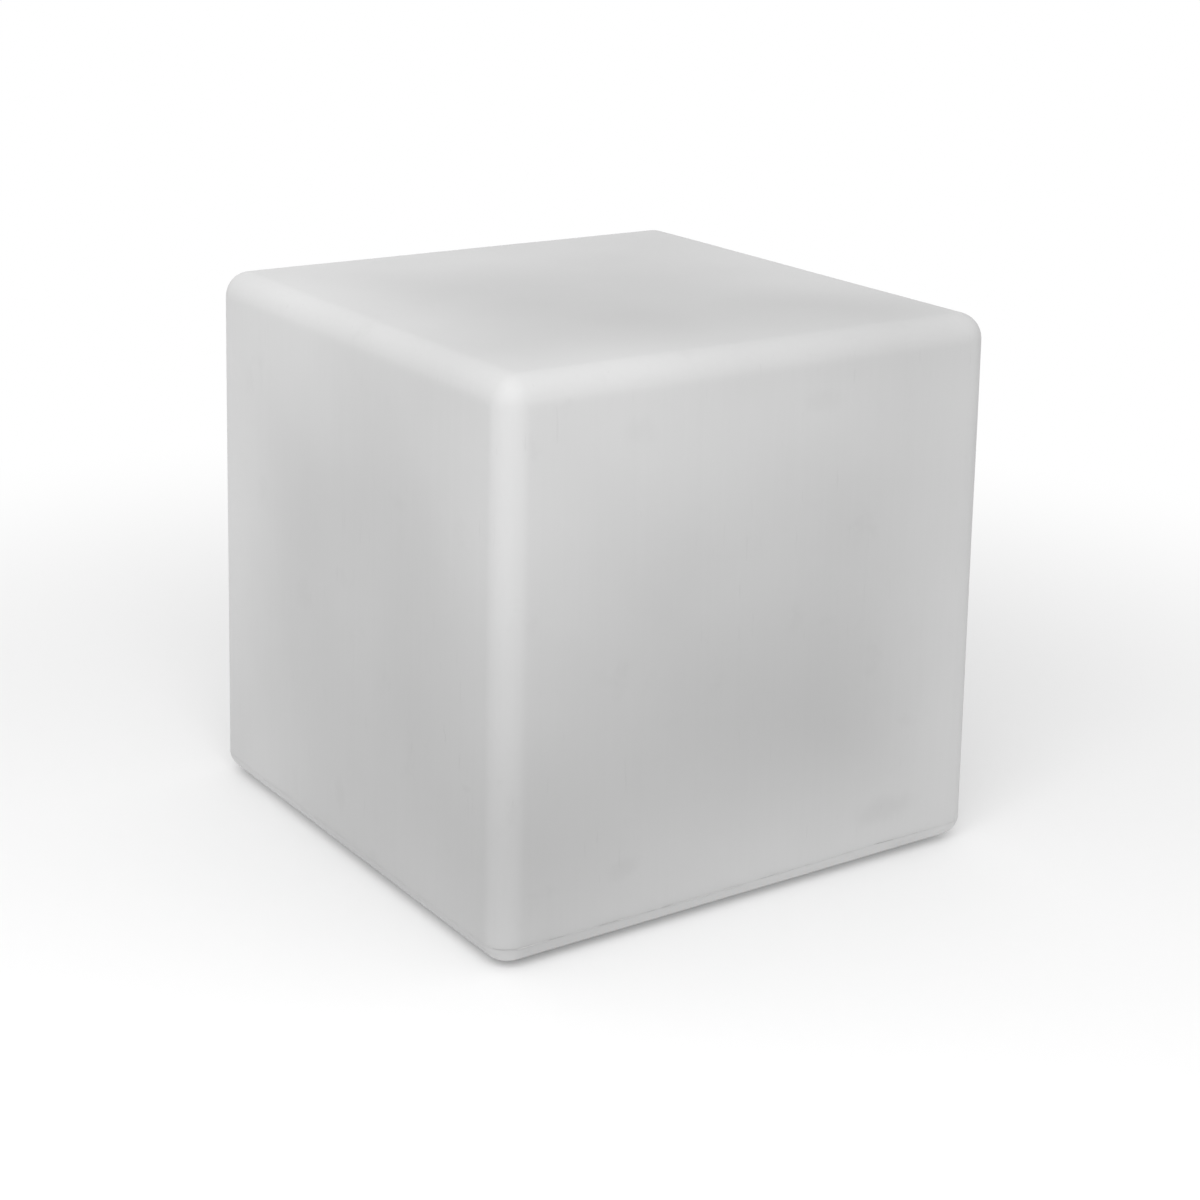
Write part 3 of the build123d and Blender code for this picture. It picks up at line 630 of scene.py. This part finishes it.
def turned_tree(name, profile):
    """A round piece from its profile: (radius, height) pairs from the axis out and back to the axis."""
    tree, given, result = form_tree(name, {"X": 0.0, "Y": 0.0})
    rows = len(profile)
    grid = put(tree, "GeometryNodeMeshGrid", {
        "Size X": 1.0, "Size Y": 1.0, "Vertices X": turned_sides + 1, "Vertices Y": rows}).outputs["Mesh"]
    place = parts_of(tree, position(tree))
    turn_share = reckon(tree, "ADD", place[0], 0.5)
    row_share = reckon(tree, "ADD", place[1], 0.5)
    row = reckon(tree, "ROUND", product(tree, row_share, float(rows - 1)))
    radius, height = 0.0, 0.0
    for index, (r, h) in enumerate(profile):
        here = reckon(tree, "COMPARE", row, float(index), 0.1)
        radius = reckon(tree, "MULTIPLY_ADD", here, r, radius)
        height = reckon(tree, "MULTIPLY_ADD", here, h, height)
    angle = product(tree, turn_share, math.tau)
    point = vector_of(tree, reckon(tree, "MULTIPLY_ADD", radius, reckon(tree, "COSINE", angle), given["X"]),
                      reckon(tree, "MULTIPLY_ADD", radius, reckon(tree, "SINE", angle), given["Y"]), height)
    closed = put(tree, "GeometryNodeMergeByDistance", {
        0: reshaped(tree, grid, point), "Distance": 1e-6}).outputs[0]
    end_form(tree, given, result, closed)
    return tree


def rim(radius, height, size, start, stop, steps=6):
    """The points of a rounded rim about a centre, between two angles in degrees."""
    angles = [math.radians(start + (stop - start) * step / steps) for step in range(steps + 1)]
    return [(radius + size * math.cos(angle), height + size * math.sin(angle)) for angle in angles]


foot_profile = ([(0.0, 0.0007), (0.0045, 0.0006), (0.0062, 0.0003), (0.0068, 0.0)]
                + [(0.0088, 0.0), (0.0090, 0.0003), (0.0094, 0.0003), (0.0096, 0.0)]
                + rim(foot_radius - foot_low_rim, foot_low_rim, foot_low_rim, -90, 0)
                + rim(foot_radius - foot_high_rim, foot_thickness - foot_high_rim, foot_high_rim, 0, 90, 3)
                + [(foot_radius / 2, foot_thickness), (0.0, foot_thickness)])


def moulded(name, dark, light, roughness, grain=0.0008, cloud=0.02, depth=0.00005, marks=0.3,
            mark_tone=1.25):
    """A moulded plastic or rubber: two close tones, the mould's grain, and marks of handling."""
    material, tree, shader, place = new_material(name, roughness)
    skin = grained(tree, place, grain, cloud)
    worn = handled(tree, place, cloud, cloud / 2)
    clean = mixed(tree, skin["Tone"], (*dark, 1), (*light, 1))
    marked = [min(1.0, channel * mark_tone + 0.01) for channel in light]
    wear = product(tree, reckon(tree, "MAXIMUM", worn["Smudge"], worn["Scratch"]), marks)
    tree.links.new(mixed(tree, wear, clean, (*marked, 1)), shader.inputs["Base Color"])
    tree.links.new(between(tree, skin["Tone"], roughness * 0.92, min(1.0, roughness * 1.08)),
                   shader.inputs["Roughness"])
    relief(tree, shader, skin["Height"], 0.5, depth)
    return material


foot_rubber = moulded("foot rubber", (0.030, 0.030, 0.030), (0.052, 0.052, 0.051), 0.78, marks=0.5,
                      mark_tone=3.0)
foot_tree = turned_tree("foot", foot_profile)
for foot_name, across, along in (("foot_front_left", -1, -1), ("foot_front_right", 1, -1),
                                 ("foot_rear_left", -1, 1), ("foot_rear_right", 1, 1)):
    foot = grow(foot_name + "_tread", foot_tree, foot_rubber, X=across * foot_offset, Y=along * foot_offset)
    fitted(foot, "foot_rubber", "light", foot_name)

# ---- module screws ----
# Six pan head screws of zinc plated steel hold the flange of the base module. Each has a rounded head
# with a cross recess, driven up into a brass insert in the moulding.

flange_under = 0.0185
screw_head_radius = 0.004
screw_head_height = 0.0026
screw_shank_radius = 0.002
screw_length = 0.014
recess_width = 0.0011
recess_length = 0.0046
recess_depth = 0.0013
crown_shrink = 0.55             # how far the head narrows to its crown, as a share of its area
shank_bite = 0.0002             # how far the shank runs into the head


def module_screws_tree():
    """Pan head screws, head down, evenly spaced on a circle."""
    tree, given, result = form_tree("module screws", {
        "Count": 6, "Circle": module_circle, "Seat": flange_under, "Head radius": screw_head_radius,
        "Head height": screw_head_height})
    head = disc(tree, screw_head_radius, -screw_head_height, 0.0, rows=12, vertices=40)
    place = position(tree)
    down = reckon(tree, "DIVIDE", parts_of(tree, place)[2], -screw_head_height)
    lost = product(tree, crown_shrink, reckon(tree, "POWER", down, 3.0))
    narrowed = reckon(tree, "SQRT", reckon(tree, "SUBTRACT", 1.0, lost))
    head = reshaped(tree, head, reckon_vector(tree, "MULTIPLY", place,
                                              vector_of(tree, narrowed, narrowed, 1.0)))
    slots = []
    for across, along in ((recess_length, recess_width), (recess_width, recess_length)):
        slot = put(tree, "GeometryNodeMeshCube", {"Size": (across, along, 2 * recess_depth)}).outputs["Mesh"]
        slots.append(shifted(tree, slot, (0, 0, -screw_head_height)))
    head = cut(tree, head, *slots)
    shank = disc(tree, screw_shank_radius, -shank_bite, screw_length, vertices=24)
    screw = put(tree, "GeometryNodeMeshBoolean", operation="UNION", solver="MANIFOLD")
    tree.links.new(head, screw.inputs[1])
    tree.links.new(shank, screw.inputs[1])
    circle = put(tree, "GeometryNodeMeshCircle", {
        "Vertices": given["Count"], "Radius": given["Circle"]}).outputs[0]
    spin = put(tree, "FunctionNodeRandomValue", {2: 0.0, 3: math.tau, "Seed": 4}).outputs[1]
    turned = vector_of(tree, z=spin)
    copies = put(tree, "GeometryNodeInstanceOnPoints", {
        0: circle, "Instance": screw.outputs[0], "Rotation": turned}).outputs[0]
    seat = vector_of(tree, z=given["Seat"])
    end_form(tree, given, result, shifted(tree, copies, seat), smooth_angle=35.0)
    return tree


def worked_metal(name, dark, light, roughness, grain=0.0004):
    """A plated or turned metal: two close tones, fine tool marks and a few dull spots."""
    material, tree, shader, place = new_material(name, roughness, {"Metallic": 1.0})
    lines = noise_at(tree, reckon_vector(tree, "MULTIPLY", place, (1.0, 1.0, 9.0)), 1.0 / grain, 2.0)
    spots = eased(tree, noise_at(tree, place, 350.0, 3.0), 0.45, 0.75)
    tinted(tree, shader, spots, light, dark)
    tree.links.new(between(tree, spots, roughness * 0.8, roughness * 1.5), shader.inputs["Roughness"])
    relief(tree, shader, lines, 0.25, 0.00002)
    return material


zinc = worked_metal("zinc plate", (0.50, 0.50, 0.51), (0.70, 0.70, 0.71), 0.32)
module_screws = grow("module_screws_set", module_screws_tree(), zinc)
fitted(module_screws, "zinc_steel", "light", "module_screws")

# ---- base module ----
# A round tub of pale ABS closes the cube from below. Its flange lies on a black gasket, and the whole
# module comes out when its screws are undone. Its skin is spark eroded, so it is finely matt.

module_plastic = moulded("module plastic", (0.52, 0.52, 0.52), (0.58, 0.58, 0.58), 0.55, grain=0.0006,
                         cloud=0.03, depth=0.00006, marks=0.35, mark_tone=0.8)
seal_rubber = moulded("seal rubber", (0.045, 0.045, 0.045), (0.075, 0.075, 0.074), 0.72, marks=0.2)


def frosted_polycarbonate():
    """The sanded inside of the dome shows through as an even frosting with a little haze."""
    material, tree, shader, place = new_material("frosted polycarbonate", 0.38, {
        "Transmission Weight": 0.35, "IOR": 1.58})
    skin = grained(tree, place, 0.0005, 0.025)
    tinted(tree, shader, skin["Tone"], (0.80, 0.80, 0.79), (0.88, 0.88, 0.87))
    relief(tree, shader, skin["Height"], 0.4, 0.00004)
    return material


def finish(material, *names):
    """A CAD node's own shape, with its real material."""
    for name in names:
        node[name].data.materials.clear()
        node[name].data.materials.append(material)


def softened(name, source, width, material, slot, body):
    """A CAD node's own shape with its sharp edges rounded over."""
    form = bmesh.new()
    form.from_mesh(node[source].data)
    bmesh.ops.remove_doubles(form, verts=form.verts, dist=1e-6)
    bmesh.ops.dissolve_limit(form, angle_limit=math.radians(1), verts=form.verts, edges=form.edges)
    sharp = [edge for edge in form.edges if edge.is_manifold and edge.calc_face_angle() > math.radians(35)]
    bmesh.ops.bevel(form, geom=sharp, offset=width, segments=3, profile=0.5, affect="EDGES",
                    clamp_overlap=True)
    for face in form.faces:
        face.smooth = True
    for edge in form.edges:
        edge.smooth = not edge.is_manifold or edge.calc_face_angle() < math.radians(40)
    piece = bpy.data.objects.new(name, bpy.data.meshes.new(name))
    form.to_mesh(piece.data)
    form.free()
    scene.collection.objects.link(piece)
    piece.data.materials.append(material)
    weighted = piece.modifiers.new("even shading", "WEIGHTED_NORMAL")
    weighted.keep_sharp = True
    fitted(piece, slot, body, source)


softened("base_tub_moulding", "base_tub", 0.0003, module_plastic, "module_plastic", "light")
finish(seal_rubber, "flange_gasket", "dome_seal", "button_ring", "jack_washer")
finish(frosted_polycarbonate(), "dome_cover")
finish(zinc, "dome_screws", "led_board_screws", "control_board_screws", "battery_clamp_screws")
turned_brass = worked_metal("turned brass", (0.42, 0.30, 0.11), (0.62, 0.46, 0.19), 0.30)
finish(turned_brass, "threaded_inserts")

# ---- LED board ----
# A round aluminium board under white solder mask carries two rings of white LEDs, each a pale package
# with a yellow phosphor bowl, and the dark receiver of the remote control.

bowl_rim = 0.0589
track_strength = 0.7


def masked_board(name, mask_dark, mask_light, copper, roughness):
    """A printed board: solder mask over tracks that show as slightly raised, lighter lanes."""
    material, tree, shader, place = new_material(name, roughness)
    black, white = (0, 0, 0, 1), (1, 1, 1, 1)
    lanes = put(tree, "ShaderNodeTexBrick", {
        "Vector": place, "Scale": 260.0, "Mortar Size": 0.09, "Mortar Smooth": 0.2, "Color1": black,
        "Color2": black, "Mortar": white}, offset=0.37, squash=1.7).outputs["Color"]
    kept = eased(tree, noise_at(tree, place, 90.0, 1.0), 0.46, 0.50)
    track = product(tree, put(tree, "ShaderNodeRGBToBW", {0: lanes}).outputs[0], kept)
    cloud = noise_at(tree, place, 60.0, 2.0)
    mask = mixed(tree, cloud, (*mask_dark, 1), (*mask_light, 1))
    tree.links.new(mixed(tree, product(tree, track, track_strength), mask, (*copper, 1)),
                   shader.inputs["Base Color"])
    relief(tree, shader, track, 0.5, 0.00005)
    return material


def led_package():
    """Pale packages whose bowls are filled with yellow phosphor."""
    material, tree, shader, place = new_material("LED package", roughness=0.35)
    bowl = reckon(tree, "LESS_THAN", parts_of(tree, place)[2], bowl_rim)
    grain = noise_at(tree, place, 2500.0, 2.0)
    phosphor = mixed(tree, grain, (0.72, 0.58, 0.10, 1), (0.86, 0.74, 0.22, 1))
    frame_tone = mixed(tree, grain, (0.78, 0.77, 0.72, 1), (0.86, 0.85, 0.81, 1))
    tree.links.new(mixed(tree, bowl, frame_tone, phosphor), shader.inputs["Base Color"])
    return material


black_plastic = moulded("black plastic", (0.022, 0.022, 0.022), (0.036, 0.036, 0.036), 0.42, grain=0.0005,
                        cloud=0.01, marks=0.25)
finish(masked_board("white solder mask", (0.76, 0.76, 0.75), (0.84, 0.84, 0.83), (0.66, 0.65, 0.60), 0.35),
       "led_board")
finish(led_package(), "led_chips")
finish(black_plastic, "ir_receiver")

# ---- control board ----
# A small green board on four posts holds the driver chips, two capacitors and the nylon connectors of
# the three leads.

finish(masked_board("green solder mask", (0.015, 0.13, 0.05), (0.025, 0.20, 0.08), (0.10, 0.33, 0.14), 0.3),
       "control_board")
finish(moulded("capacitor sleeve", (0.05, 0.06, 0.08), (0.09, 0.10, 0.13), 0.3, cloud=0.006, marks=0.2),
       "board_capacitors")
natural_nylon = moulded("natural nylon", (0.68, 0.66, 0.58), (0.78, 0.76, 0.69), 0.45, cloud=0.006, marks=0.2,
                        mark_tone=0.8)
softened("board_connector_shells", "board_connectors", 0.0003, natural_nylon, "connector_plastic", "light")
softened("board_chip_packages", "board_chips", 0.00015, black_plastic, "black_plastic", "light")
finish(moulded("status LED", (0.62, 0.64, 0.60), (0.76, 0.78, 0.74), 0.3, cloud=0.002, marks=0.1),
       "status_led")

# ---- battery ----
# Two round cells in blue shrink sleeve lie on a foam pad, joined by welded nickel strips and held down
# by a plastic clamp.

cell_half_length = 0.0325
wrinkled_length = 0.0085        # how far the sleeve's wrinkles reach in from each end


def shrink_sleeve():
    """Thin glossy sleeve, a little wrinkled towards the ends of each cell."""
    material, tree, shader, place = new_material("shrink sleeve", roughness=0.28)
    from_middle = reckon(tree, "ABSOLUTE", parts_of(tree, place)[0])
    end = eased(tree, from_middle, cell_half_length - wrinkled_length, cell_half_length)
    wrinkle = noise_at(tree, reckon_vector(tree, "MULTIPLY", place, (0.3, 1.0, 1.0)), 900.0, 2.0)
    tinted(tree, shader, noise_at(tree, place, 120.0, 2.0), (0.055, 0.17, 0.36), (0.085, 0.24, 0.47))
    relief(tree, shader, product(tree, wrinkle, between(tree, end, 0.15, 1.0)), 0.5, 0.0001)
    return material


def cell_foam():
    """Black closed-cell foam."""
    material, tree, shader, place = new_material("closed-cell foam", roughness=0.9)
    cells = put(tree, "ShaderNodeTexVoronoi", {"Vector": place, "Scale": 1400.0}).outputs["Distance"]
    tinted(tree, shader, cells, (0.05, 0.05, 0.05), (0.12, 0.12, 0.12))
    relief(tree, shader, cells, 0.8, 0.0003)
    return material


softened("battery_pad_sheet", "battery_pad", 0.0004, cell_foam(), "foam", "light")
finish(shrink_sleeve(), "battery_cells")
finish(worked_metal("nickel strip", (0.52, 0.50, 0.46), (0.68, 0.66, 0.61), 0.28, grain=0.0006),
       "cell_strips")
softened("battery_clamp_moulding", "battery_clamp", 0.0003, module_plastic, "module_plastic", "light")

# ---- leads ----
# Stranded copper in soft red PVC runs from the cells, the socket and the LED board to the connectors.


def red_jacket():
    """Soft extruded PVC, faintly uneven, with a slight sheen."""
    material, tree, shader, place = new_material("red jacket", roughness=0.42)
    uneven = noise_at(tree, place, 500.0, 2.0)
    tinted(tree, shader, uneven, (0.40, 0.022, 0.022), (0.55, 0.04, 0.04))
    relief(tree, shader, uneven, 0.3, 0.00005)
    return material


finish(red_jacket(), "battery_lead", "charging_lead", "led_lead")

# ---- power button ----
# A grey cap stands out of the flange under a rubber ring, slides straight up against its latching
# switch, and has a shallow dish with faint marks of handling.

button_plastic = moulded("button plastic", (0.20, 0.20, 0.205), (0.26, 0.26, 0.265), 0.38, grain=0.0005,
                         cloud=0.006, depth=0.00003, marks=0.35)
finish(button_plastic, "button_cap")
finish(natural_nylon, "switch_stem")
softened("switch_housing", "switch_body", 0.0003, black_plastic, "black_plastic", "light")

# ---- status light pipe ----
# A polished acrylic rod brings the light of the status LED down to the face of the flange.


def clear_acrylic():
    """Polished acrylic with a slight haze."""
    material, tree, shader, place = new_material("clear acrylic", 0.06, {
        "Transmission Weight": 1.0, "IOR": 1.49})
    haze = noise_at(tree, place, 400.0, 2.0)
    tinted(tree, shader, haze, (0.93, 0.94, 0.95), (0.98, 0.98, 0.98))
    tree.links.new(between(tree, haze, 0.03, 0.12), shader.inputs["Roughness"])
    return material


finish(clear_acrylic(), "light_pipe")

# ---- charging socket ----
# A round black socket body is held up against the flange by a turned nut over a rubber washer. Its
# contacts are brass, and its bore takes a 5.5 mm plug.

finish(black_plastic, "charging_jack")
finish(turned_brass, "jack_contacts", "jack_nut")

# ---- charging cap ----
# A soft silicone lid keeps water out of the charging socket. It swings down on a thin web that joins it
# to a strap, whose stud is pressed through the flange.

cap_silicone = moulded("cap silicone", (0.060, 0.060, 0.061), (0.090, 0.090, 0.091), 0.62, grain=0.0007,
                       cloud=0.01, marks=0.3, mark_tone=1.6)
edge_rounding = 0.00035
web_width = 0.0096
web_length = 0.0030
web_thickness = 0.0003
bend_line = Vector((0.046, 0.004, 0.01595))


def web_tree():
    """A thin strip across the bend line, fine enough to fold."""
    tree, given, result = form_tree("hinge web", {
        "Width": web_width, "Length": web_length, "Thickness": web_thickness})
    strip = put(tree, "GeometryNodeMeshCube", {
        "Size": vector_of(tree, given["Width"], given["Length"], given["Thickness"]), "Vertices X": 9,
        "Vertices Y": 25, "Vertices Z": 2}).outputs["Mesh"]
    end_form(tree, given, result, shifted(tree, strip, tuple(bend_line)), smooth_angle=50.0)
    return tree


softened("charging_cap_lid", "charging_cap", edge_rounding, cap_silicone, "cap_silicone", "charging_cap")
softened("cap_anchor_strap", "cap_anchor", edge_rounding, cap_silicone, "cap_silicone", "light")
hinge_web = grow("cap_hinge_web", web_tree(), cap_silicone)
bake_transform(hinge_web)

# ---- floor, backdrop and lamps ----
# A pale floor that turns to plain white away from the cube, one large soft lamp by the camera's left
# shoulder, a pale sky, and a weak light from below that the floor lets through.

floor_reach = 40.0
shaded_within = 0.45            # how far from the middle the floor keeps its tone and the shadow
white_beyond = 1.1


def plainly_seen(tree):
    """1 where the camera sees a surface, directly or in metal or glass, and 0 where it only gives light."""
    path = put(tree, "ShaderNodeLightPath").outputs
    return reckon(tree, "MAXIMUM", path["Is Camera Ray"],
                  reckon(tree, "MAXIMUM", path["Is Glossy Ray"], path["Is Transmission Ray"]))


def pale_floor():
    """Pale paint round the cube, plain white farther out, which lets light through from below."""
    material, tree, shader, place = new_material("floor", 0.7, {"Specular IOR Level": 0.0})
    seen = plainly_seen(tree)
    tinted(tree, shader, seen, (0.62, 0.62, 0.62), (0.93, 0.93, 0.93))
    away = eased(tree, reckon_vector(tree, "LENGTH", place), shaded_within, white_beyond)
    white = put(tree, "ShaderNodeEmission", {"Color": (1, 1, 1, 1)}).outputs[0]
    faded = put(tree, "ShaderNodeMixShader", {
        0: product(tree, seen, away), 1: shader.outputs[0], 2: white}).outputs[0]
    below = put(tree, "ShaderNodeNewGeometry").outputs["Backfacing"]
    shadow = put(tree, "ShaderNodeLightPath").outputs["Is Shadow Ray"]
    clear = put(tree, "ShaderNodeBsdfTransparent").outputs[0]
    through = put(tree, "ShaderNodeMixShader", {
        0: reckon(tree, "MAXIMUM", below, shadow), 1: faded, 2: clear}).outputs[0]
    tree.links.new(through, tree.nodes["Material Output"].inputs["Surface"])
    return material


floor_mesh = bpy.data.meshes.new("floor")
corners = [(x * floor_reach, y * floor_reach, 0) for x, y in ((-1, -1), (1, -1), (1, 1), (-1, 1))]
floor_mesh.from_pydata(corners, [], [(0, 1, 2, 3)])
floor_mesh.materials.append(pale_floor())
floor = bpy.data.objects.new("floor", floor_mesh)
scene.collection.objects.link(floor)


def lamp(name, kind, strength, turn, rise, distance=0.0, **settings):
    """A lamp that looks at the middle of the cube from a direction."""
    data = bpy.data.lights.new(name, kind)
    data.energy = strength
    for key, value in settings.items():
        setattr(data, key, value)
    made = bpy.data.objects.new(name, data)
    scene.collection.objects.link(made)
    a, e = math.radians(turn), math.radians(rise)
    toward = Vector((math.sin(a) * math.cos(e), -math.cos(a) * math.cos(e), math.sin(e)))
    made.location = looked_at + distance * toward
    made.rotation_mode = "QUATERNION"
    made.rotation_quaternion = toward.to_track_quat("Z", "Y")


lamp("key", "AREA", 9.5, turn=-42, rise=36, distance=1.5, shape="SQUARE", size=1.2)
lamp("from_below", "SUN", 0.95, turn=0, rise=-90, angle=math.radians(40))

world = bpy.data.worlds.new("sky")
scene.world = world
world.use_nodes = True
sky = world.node_tree
sky_tone = mixed(sky, plainly_seen(sky), (0.84, 0.84, 0.84, 1), (1, 1, 1, 1))
sky.links.new(sky_tone, sky.nodes["Background"].inputs["Color"])
